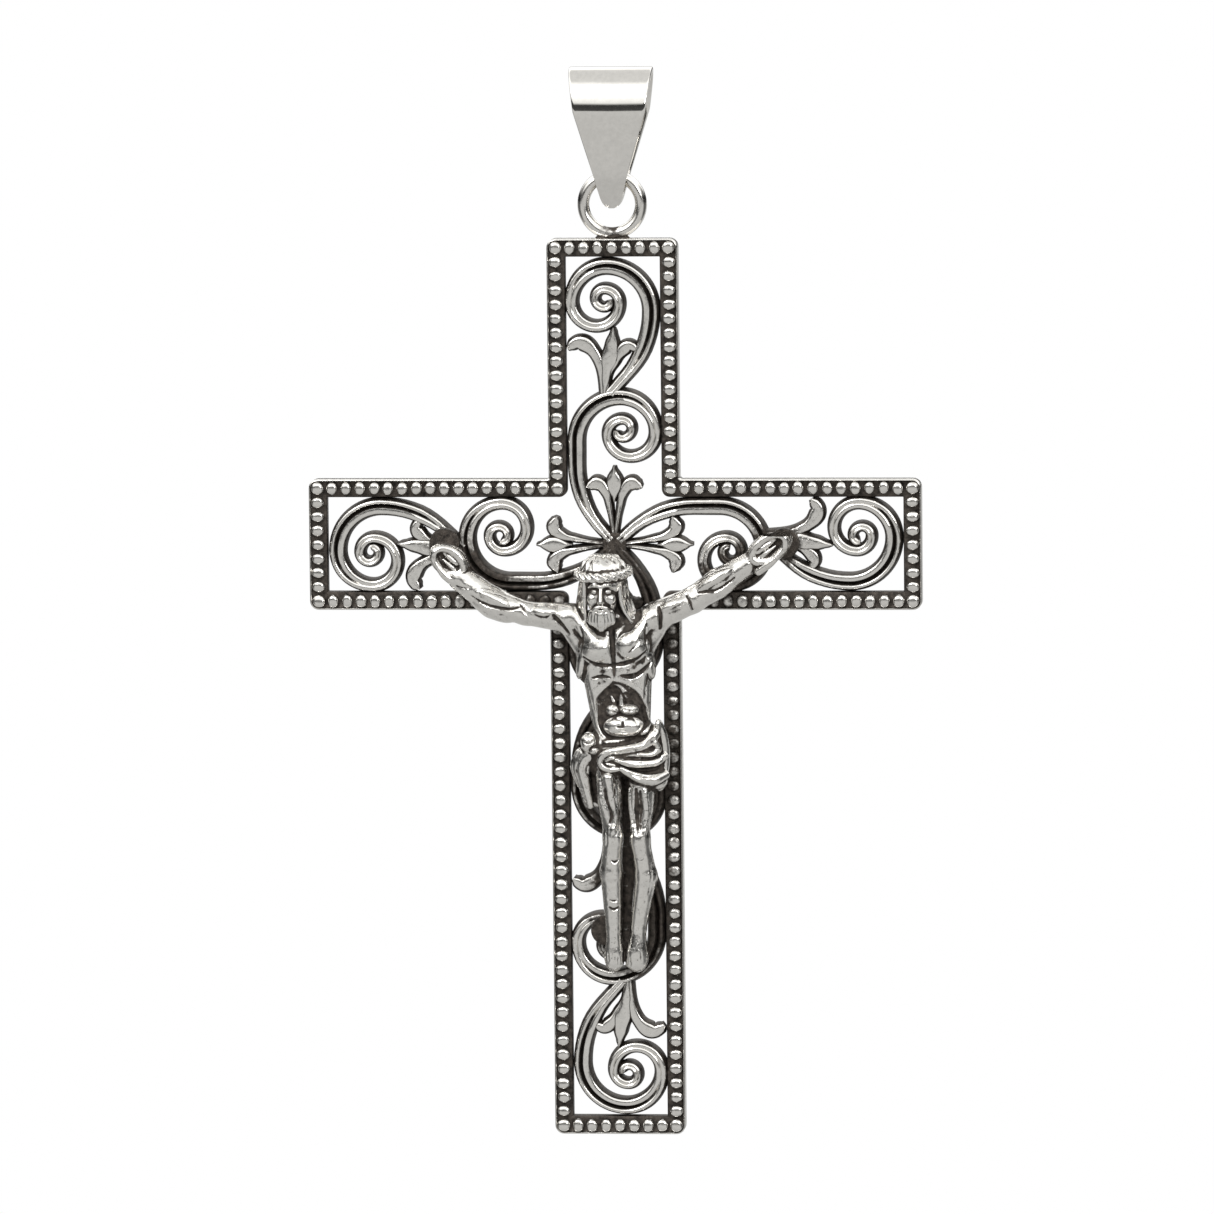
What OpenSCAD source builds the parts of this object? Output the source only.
// Openwork crucifix pendant: a beaded cross frame filled with scrolls and
// trefoil sprigs, a cast figure on three seats, a soldered ring and a folded bail.
// Origin: inside top of the bail, where a chain bears. +Z up, front faces -Y.

/* [Cross] */
// Width across the side arms
cross_w = 48; // [40:0.5:60]
// Height of the cross from top to bottom edge
cross_h = 70.4; // [60:0.5:86]
// Width of each arm across its rails
bar_w = 10.25; // [8.6:0.05:12.4]
// Height of the top arm above the side arms
top_arm = 18.8; // [15.6:0.1:22.6]

/* [Rail] */
// Width of the rail seen from the front
rail_w = 1.41; // [1.18:0.01:1.7]
// Thickness of the rail from back to front
rail_t = 1.15; // [0.95:0.01:1.4]
// Radius of the cross's outer corners
corner_r = 0.7; // [0.3:0.05:1]
// Width of the lip along the outer edge
lip_w = 0.16; // [0.1:0.01:0.22]
// Height of the lip over the rail's face
lip_h = 0.2; // [0.1:0.01:0.3]

/* [Beads] */
// Diameter of one bead
bead_d = 0.92; // [0.76:0.01:0.98]
// Wanted distance between two beads
bead_pitch = 1.107; // [1.05:0.001:1.33]

/* [Openwork] */
// Width of a scroll's two strands together
band_w = 1.1; // [0.92:0.01:1.32]
// Width of the groove between the two strands
groove_w = 0.24; // [0.16:0.01:0.3]
// Depth of the groove between the two strands
groove_d = 0.5; // [0.3:0.05:0.7]
// Thickness of scrolls and sprigs from back to front
work_t = 1.3; // [1.1:0.05:1.55]

/* [Ring] */
// Wire thickness of the ring
ring_wire = 0.94; // [0.78:0.01:1.13]
// Outer diameter of the ring
ring_od = 5.44; // [4.6:0.01:6.5]

/* [Bail] */
// Width of the bail at its top
bail_w = 6.65; // [5.6:0.05:8]
// Height of the bail
bail_h = 10.95; // [10:0.05:13]
// Depth of the bail from front to back
bail_depth = 4.8; // [4.2:0.05:5]
// Thickness of the bail's strip
bail_t = 0.5; // [0.42:0.01:0.6]
// Width of the bail's rounded tip
bail_tip = 1.5; // [1.25:0.05:1.8]
// Height of the ring's wire over the bail's tip
eye_rise = 2.45; // [2.3:0.05:2.6]

/* [Figure] */
// Distance between the middles of the two hands
hand_span = 26.6; // [22.2:0.1:31.9]
// Height of the figure from crown to toes
figure_h = 33.2; // [27.7:0.1:39.8]
// Diameter of the round seats under hands and feet
seat_d = 2.4; // [2:0.05:2.9]
// Distance between the openwork's face and the figure's back
figure_gap = 0.15; // [0.05:0.05:0.3]

/* [Motion] */
// Free space round the ring's wire inside the bail's eye
swing_gap = 0.65; // [0.5:0.01:0.72]

/* [Hidden] */
ROUND = 48;
SMALL_ROUND = 24;
BODY_FN = 12;
// Degrees of arc in one flat of a scroll or a rounded corner
ARC_STEP = 15;
// How deep parts that are soldered together reach into each other
SINK = 0.1;
// Longer than any part is thick, for cuts that go right through
CUT = 1;

// Front to back
back_y = rail_t / 2;
rail_face_y = -rail_t / 2;
work_back_y = back_y - SINK;
work_face_y = work_back_y - work_t;

// The ring hangs in the bail's eye, and the cross hangs from the ring
ring_r = (ring_od - ring_wire) / 2;
bail_top_z = bail_t;
wire_z = bail_top_z - bail_h + eye_rise;
ring_z = wire_z - ring_r;
cross_top_z = ring_z - ring_od / 2 + 0.8 * SINK;
cross_bottom_z = cross_top_z - cross_h;
arm_top_z = cross_top_z - top_arm;
arm_bottom_z = arm_top_z - bar_w;
hub_z = arm_top_z - bar_w / 2;

// Half sizes and reaches, measured from the hub
half_w = cross_w / 2;
half_bar = bar_w / 2;
half_open = half_bar - rail_w;
reach_side = half_w - rail_w;
reach_top = cross_top_z - hub_z - rail_w;
reach_low = hub_z - cross_bottom_z - rail_w;

// The scroll's path, for an opening of this half width, in units of itself
PATH_HALF = 3.715;
SCROLL_LEN = 10.2;
scale_k = half_open / PATH_HALF;
end_len = SCROLL_LEN * scale_k + 0.2;
low_step = (reach_low - end_len) / 3;
top_step = reach_top - end_len;
side_step = reach_side - end_len;

// [arm direction, distance of the root from the hub, run-on, hand]
UNITS = [
    [90, 0, top_step - SCROLL_LEN * scale_k, 1],
    [90, top_step, 0, -1],
    [180, 0, side_step - SCROLL_LEN * scale_k, 1],
    [180, side_step, 0, -1],
    [0, 0, side_step - SCROLL_LEN * scale_k, 1],
    [0, side_step, 0, -1],
    [270, 0, low_step - SCROLL_LEN * scale_k, 1],
    [270, low_step, low_step - SCROLL_LEN * scale_k, -1],
    [270, 2 * low_step, low_step - SCROLL_LEN * scale_k, 1],
    [270, 3 * low_step, 0, -1],
];

// [radius, sweep] arcs, all turning towards the loop. Radius 0 is a straight run.
STEM = [[0, 1.1], [7.5, 42]];
CURL = [[3.45, 90], [2.75, 90], [1.95, 90], [1.8, 90], [1.15, 90], [0.75, 90],
        [0.72, 90], [0.5, 100]];
STEM_HEADING = 42;
// Widths along a scroll as [fraction of the path's points, share of band_w]
BAND = [[0, 0.62], [0.08, 0.75], [0.2, 1], [0.42, 1], [0.56, 0.72], [0.75, 0.62],
        [0.9, 0.44], [1, 0.3]];
GROOVE = [[0.1, 0.02], [0.2, 1], [0.4, 1], [0.5, 0.02]];
// The groove runs nearer the outer strand than the inner one
GROOVE_SIDE = 0.07;

// Trefoil leaves: paths and widths, in the scroll's own units
SIDE_LEAF = [[0, 1.75], [1.75, 118]];
SIDE_LEAF_W = [[0, 0.45], [0.25, 0.7], [0.5, 1.1], [0.75, 0.85], [1, 0.12]];
NEAR_LEAF = [[0, 2.1], [1.25, 105]];
NEAR_LEAF_W = [[0, 0.4], [0.25, 0.6], [0.5, 0.95], [0.75, 0.75], [1, 0.12]];
MID_LEAF_W = [[0, 0.35], [0.35, 0.55], [0.7, 1.25], [0.86, 0.8], [1, 0.1]];
MID_LEAF_LEN = 4.75;

// The figure's places are set for this height and scale with it. Its crown is just under the hub.
FIGURE_DRAWN = 33.2;
fig_k = figure_h / FIGURE_DRAWN;
fig_back_y = work_face_y - figure_gap;
crown_z = hub_z - 0.45 * fig_k;
hand_x = hand_span / 2;
hand_z = hub_z + 0.15;
feet_x = -0.9;
feet_z = crown_z - 29.8 * fig_k;
// How far a seat reaches into the figure
SEAT_IN = 0.5;

// ---- Points and outlines -------------------------------------------------

// Points of one arc that turns clockwise from p = [x, y, heading]
function arc_points(p, r, sweep) =
    let (n = ceil(sweep / ARC_STEP), cx = p.x + r * sin(p[2]), cy = p.y - r * cos(p[2]))
    [for (k = [0:n]) let (a = p[2] - sweep * k / n) [cx - r * sin(a), cy + r * cos(a), a]];

// Points of a straight run from p
function run_points(p, length) =
    let (n = max(1, ceil(length / 0.8)))
    [for (k = [0:n]) [p.x + length * k / n * cos(p[2]), p.y + length * k / n * sin(p[2]), p[2]]];

// Points [x, y, heading] along a chain of runs and arcs
function chain(parts, p, i = 0) =
    i == len(parts) ? [p] :
    let (
        some = parts[i][0] == 0 ? run_points(p, parts[i][1])
                                : arc_points(p, parts[i][0], parts[i][1]),
        last = len(some) - 1
    )
    concat([for (k = [0:last - 1]) some[k]], chain(parts, some[last], i + 1));

// A point at distance d to the left of the path
function beside(p, d) = [p.x - d * sin(p[2]), p.y + d * cos(p[2])];

// Outline of a band along a path, shifted to the left by shift
function band(path, widths, w, shift = 0) =
    let (last = len(path) - 1)
    concat(
        [for (k = [0:last]) beside(path[k], shift + w * lookup(k / last, widths) / 2)],
        [for (k = [last:-1:0]) beside(path[k], shift - w * lookup(k / last, widths) / 2)]);

// The stretch of a path that a groove's own widths cover
function stretch(path, widths) =
    let (last = len(path) - 1, a = widths[0][0], b = widths[len(widths) - 1][0])
    [for (k = [0:last]) if (k / last >= a && k / last <= b) path[k]];

function from_zero(widths) =
    let (a = widths[0][0], b = widths[len(widths) - 1][0])
    [for (w = widths) [(w[0] - a) / (b - a), w[1]]];

// Outline of a cross whose arms are pulled in by inset, with rounded corners
function cross_outline(inset, r_out, r_in) =
    let (
        h = half_bar - inset, w = half_w - inset,
        t = cross_top_z - inset, b = cross_bottom_z + inset,
        at = arm_top_z - inset, ab = arm_bottom_z + inset,
        corners = [[h, t, 0], [h, at, 1], [w, at, 0], [w, ab, 0], [h, ab, 1], [h, b, 0],
                   [-h, b, 0], [-h, ab, 1], [-w, ab, 0], [-w, at, 0], [-h, at, 1], [-h, t, 0]],
        n = len(corners)
    )
    [for (i = [0:n - 1])
        let (c = corners[i], before = corners[(i + n - 1) % n], after = corners[(i + 1) % n])
        each corner(before, c, after, c[2] == 1 ? r_in : r_out)];

// One rounded corner between two square-on sides
function corner(before, c, after, r) =
    let (
        p = [sign(before.x - c.x), sign(before.y - c.y)],
        q = [sign(after.x - c.x), sign(after.y - c.y)],
        m = [c.x + r * (p.x + q.x), c.y + r * (p.y + q.y)],
        n = 90 / ARC_STEP
    )
    r == 0 ? [[c.x, c.y]] :
    [for (k = [0:n]) let (a = 90 * k / n)
        [m.x - r * (q.x * cos(a) + p.x * sin(a)), m.y - r * (q.y * cos(a) + p.y * sin(a))]];

// An upright plate of an outline drawn in X and Z, from its back to its front
module plate(from_y, to_y) {
    translate([0, from_y, 0]) rotate([90, 0, 0]) linear_extrude(from_y - to_y) children();
}

// Places an outline drawn along an arm, with its root at the unit's distance from the hub
module on_arm(unit) {
    translate([0, hub_z]) rotate(unit[0]) translate([unit[1], 0]) children();
}

// Mirrors points across the arm and sets them to the opening's size
function handed(points, hand) = [for (p = points) [p.x * scale_k, p.y * scale_k * hand]];

// ---- Hanging parts ---------------------------------------------------------

// Half outline of the bail's loop on the +X side, grown by g from its inside, top first
function bail_half(g) =
    let (
        r_top = bail_depth / 2 - bail_t, z_top = -r_top,
        r_eye = ring_wire / 2 + swing_gap, z_eye = wire_z + 0.05,
        lean = asin((r_top - r_eye) / (z_top - z_eye)),
        n = ROUND / 4
    )
    concat(
        [for (k = [0:n]) let (a = 90 - (90 + lean) * k / n)
            [(r_top + g) * cos(a), z_top + (r_top + g) * sin(a)]],
        [for (k = [0:n]) let (a = -lean - (90 - lean) * k / n)
            [(r_eye + g) * cos(a), z_eye + (r_eye + g) * sin(a)]]);

// The same points on the -X side, in reverse order
function mirrored(points) = [for (k = [len(points) - 1:-1:0]) [-points[k].x, points[k].y]];

// The whole loop seen from the side
function bail_side(g) =
    let (half = bail_half(g))
    concat(half, mirrored([for (k = [1:len(half) - 2]) half[k]]));

// Half widths of the bail below its bend and at the ring's wire, as shares of its width
BEND_SHARE = 0.425;
EYE_SHARE = 0.2;
// Front outline on the +X side, from the top edge to the rounded tip
function bail_front() =
    let (tip_r = bail_tip / 2, tip_z = bail_top_z - bail_h, n = ROUND / 8,
         bend_z = bail_top_z - 0.7 * bail_depth)
    concat(
        [[bail_w / 2, bail_top_z + SINK], [bail_w * BEND_SHARE, bend_z],
         [bail_w * EYE_SHARE, wire_z + SINK]],
        [for (k = [0:n]) let (a = -90 * k / n)
            [tip_r * cos(a), tip_z + tip_r + tip_r * sin(a)]]);

module bail() {
    tip_z = bail_top_z - bail_h;
    front = bail_front();
    color("gainsboro") intersection() {
        union() {
            rotate([90, 0, 90]) translate([0, 0, -bail_w]) linear_extrude(2 * bail_w)
                difference() {
                    polygon(bail_side(bail_t));
                    polygon(bail_side(0));
                }
            translate([-bail_w, -bail_t, tip_z - CUT])
                cube([2 * bail_w, 2 * bail_t, wire_z - tip_z]);
        }
        plate(bail_depth, -bail_depth)
            polygon(concat(front, mirrored([for (k = [0:len(front) - 2]) front[k]])));
    }
}

// The ring, with the block of solder that it stands on
module jump_ring() {
    foot = [ring_od * 0.36, ring_wire * 0.8, ring_wire * 0.45];
    color("silver") union() {
        translate([0, 0, ring_z]) rotate([90, 0, 0]) rotate_extrude($fn = ROUND)
            translate([ring_r, 0]) circle(ring_wire / 2, $fn = SMALL_ROUND);
        translate([-foot.x / 2, -foot.y / 2, cross_top_z]) cube(foot);
    }
}

// ---- Frame -------------------------------------------------------------------

// Radii of the corners between two arms, outside and inside the rail
ARM_CORNER = 0.2;
OPENING_CORNER = 0.35;

module frame_rail() {
    outside = cross_outline(0, corner_r, ARM_CORNER);
    color("dimgray") difference() {
        union() {
            plate(back_y, rail_face_y) polygon(outside);
            plate(rail_face_y + SINK, rail_face_y - lip_h) difference() {
                polygon(outside);
                polygon(cross_outline(lip_w, corner_r - lip_w, ARM_CORNER + lip_w));
            }
        }
        plate(back_y + CUT, rail_face_y - CUT) polygon(cross_outline(rail_w, 0, OPENING_CORNER));
    }
}

// Rows of beads along the rail's middle, as [from, to] in X and Z
rail_mid = rail_w / 2;
row_h = half_bar - rail_mid;
row_w = half_w - rail_mid;
row_t = cross_top_z - rail_mid;
row_b = cross_bottom_z + rail_mid;
row_at = arm_top_z - rail_mid;
row_ab = arm_bottom_z + rail_mid;
TOP_ROWS = [[[-row_h, row_at], [-row_h, row_t]], [[-row_h, row_t], [row_h, row_t]],
            [[row_h, row_t], [row_h, row_at]]];
LEFT_ROWS = [[[-row_h, row_ab], [-row_w, row_ab]], [[-row_w, row_ab], [-row_w, row_at]],
             [[-row_w, row_at], [-row_h, row_at]]];
RIGHT_ROWS = [[[row_h, row_at], [row_w, row_at]], [[row_w, row_at], [row_w, row_ab]],
              [[row_w, row_ab], [row_h, row_ab]]];
LOWER_ROWS = [[[row_h, row_ab], [row_h, row_b]], [[row_h, row_b], [-row_h, row_b]],
              [[-row_h, row_b], [-row_h, row_ab]]];

// The front half of a ball, on the rail's face
module bead() {
    difference() {
        sphere(bead_d / 2, $fn = SMALL_ROUND);
        translate([-bead_d, 0, -bead_d]) cube(2 * bead_d);
    }
}

// Beads at an even pitch along each row, with one at its start and none at its end
module beads(rows) {
    color("silver") for (row = rows) {
        step = row[1] - row[0];
        count = round(norm(step) / bead_pitch);
        for (k = [0:count - 1])
            translate([row[0].x + step.x * k / count, rail_face_y, row[0].y + step.y * k / count])
                bead();
    }
}

// ---- Openwork ------------------------------------------------------------------

// Path of one scroll, lengthened along the rail by run_on
function scroll_path(run_on) =
    chain(concat(STEM, run_on > 0.05 ? [[0, run_on / scale_k]] : [], CURL),
          [0.35, 0.3, STEM_HEADING]);

module scroll(unit) {
    path = scroll_path(unit[2]);
    color("silver") difference() {
        plate(work_back_y, work_face_y) on_arm(unit)
            polygon(handed(band(path, BAND, band_w / scale_k), unit[3]));
        plate(work_face_y + groove_d, work_face_y - CUT) on_arm(unit)
            polygon(handed(band(stretch(path, GROOVE), from_zero(GROOVE),
                                groove_w / scale_k, GROOVE_SIDE), unit[3]));
    }
}

// One leaf, a little thinner than the scrolls. side -1 mirrors it across the arm.
module leaf(unit, points, side) {
    plate(work_back_y - SINK, work_face_y + SINK) on_arm(unit)
        polygon(handed(points, unit[3] * side));
}

// Three leaves that open towards the loop. Inner sprigs have a longer stem.
module sprig(unit) {
    stem = unit[2] > 0.05 ? unit[2] / scale_k : 0;
    run = [[0, stem + 0.01]];
    color("silver") union() {
        leaf(unit, band(chain(concat(run, SIDE_LEAF), [0.1, -0.75, -7]), SIDE_LEAF_W, 1), 1);
        leaf(unit, band(chain(concat(run, NEAR_LEAF), [0.1, 0.65, -3]), NEAR_LEAF_W, 1), -1);
        leaf(unit, band(run_points([0.1, -0.7, 6], stem + MID_LEAF_LEN), MID_LEAF_W, 1), 1);
    }
}

module centre_boss() {
    color("dimgray") plate(work_back_y, work_face_y) translate([0, hub_z])
        circle(0.95 * scale_k, $fn = SMALL_ROUND);
}

// ---- Figure ---------------------------------------------------------------------

module seat(x, z) {
    color("dimgray") plate(work_face_y, fig_back_y - SEAT_IN) translate([x, z])
        circle(seat_d / 2, $fn = SMALL_ROUND);
}

// A ball of the figure at p = [right, forward, down from the crown]
module ball(p, r) {
    translate([p.x * fig_k, fig_back_y - p.y * fig_k, crown_z - p.z * fig_k])
        sphere(r * fig_k, $fn = BODY_FN);
}

module limb(a, ra, b, rb) {
    hull() {
        ball(a, ra);
        ball(b, rb);
    }
}

module corpus() {
    arm_x = hand_x / fig_k;
    arm_z = (crown_z - hand_z) / fig_k;
    color("silver") union() {
        limb([-0.3, 3.2, 1.9], 1.75, [-0.5, 3.0, 4.2], 1.5);
        limb([-0.1, 2.0, 4.6], 1.7, [0.1, 1.6, 7.0], 1.9);
        hull() {
            ball([-2.1, 1.7, 7.2], 1.5);
            ball([2.2, 1.7, 7.2], 1.5);
            ball([0, 1.6, 12.6], 1.55);
        }
        limb([0.1, 1.6, 12.4], 1.6, [0.1, 1.6, 14.8], 1.75);
        hull() {
            ball([-1.4, 1.6, 15.4], 1.6);
            ball([1.8, 1.6, 16.0], 1.75);
            ball([0.4, 1.7, 18.4], 1.7);
        }
        limb([-2.6, 1.4, 5.6], 1.25, [-7.2, 1.1, 4.2], 0.9);
        limb([-7.2, 1.1, 4.2], 0.9, [-arm_x + 1.7, 0.7, arm_z + 1.4], 0.6);
        limb([-arm_x + 1.7, 0.7, arm_z + 1.4], 0.6, [-arm_x, 0.75, arm_z], 0.95);
        limb([2.8, 1.4, 5.6], 1.25, [6.4, 1.1, 4.4], 0.95);
        limb([6.4, 1.1, 4.4], 0.95, [arm_x - 2.4, 0.7, arm_z + 1.2], 0.65);
        limb([arm_x - 2.4, 0.7, arm_z + 1.2], 0.65, [arm_x, 0.75, arm_z], 0.9);
        limb([-0.6, 1.7, 17.6], 1.45, [-0.35, 1.9, 22.2], 1.1);
        limb([1.9, 1.7, 17.6], 1.45, [1.9, 1.9, 22.6], 1.1);
        limb([-0.35, 1.9, 22.2], 1.1, [-0.1, 1.4, 28.6], 0.75);
        limb([1.9, 1.9, 22.6], 1.1, [1.6, 1.4, 28.6], 0.75);
        limb([-0.1, 1.3, 28.6], 0.75, [0.1, 0.9, 32.6], 0.65);
        limb([1.6, 1.3, 28.6], 0.75, [1.3, 0.9, 32.6], 0.65);
    }
}

bail();
jump_ring();
frame_rail();
beads(TOP_ROWS);  // beads_top
beads(LEFT_ROWS);  // beads_left
beads(RIGHT_ROWS);  // beads_right
beads(LOWER_ROWS);  // beads_lower
scroll(UNITS[0]);  // scroll_top_inner
scroll(UNITS[1]);  // scroll_top_outer
scroll(UNITS[2]);  // scroll_left_inner
scroll(UNITS[3]);  // scroll_left_outer
scroll(UNITS[4]);  // scroll_right_inner
scroll(UNITS[5]);  // scroll_right_outer
scroll(UNITS[6]);  // scroll_lower_1
scroll(UNITS[7]);  // scroll_lower_2
scroll(UNITS[8]);  // scroll_lower_3
scroll(UNITS[9]);  // scroll_lower_4
sprig(UNITS[0]);  // sprig_top_inner
sprig(UNITS[1]);  // sprig_top_outer
sprig(UNITS[2]);  // sprig_left_inner
sprig(UNITS[3]);  // sprig_left_outer
sprig(UNITS[4]);  // sprig_right_inner
sprig(UNITS[5]);  // sprig_right_outer
sprig(UNITS[6]);  // sprig_lower_1
sprig(UNITS[7]);  // sprig_lower_2
sprig(UNITS[8]);  // sprig_lower_3
sprig(UNITS[9]);  // sprig_lower_4
centre_boss();
seat(-hand_x, hand_z);  // seat_left_hand
seat(hand_x, hand_z);  // seat_right_hand
seat(feet_x, feet_z);  // seat_feet
corpus();
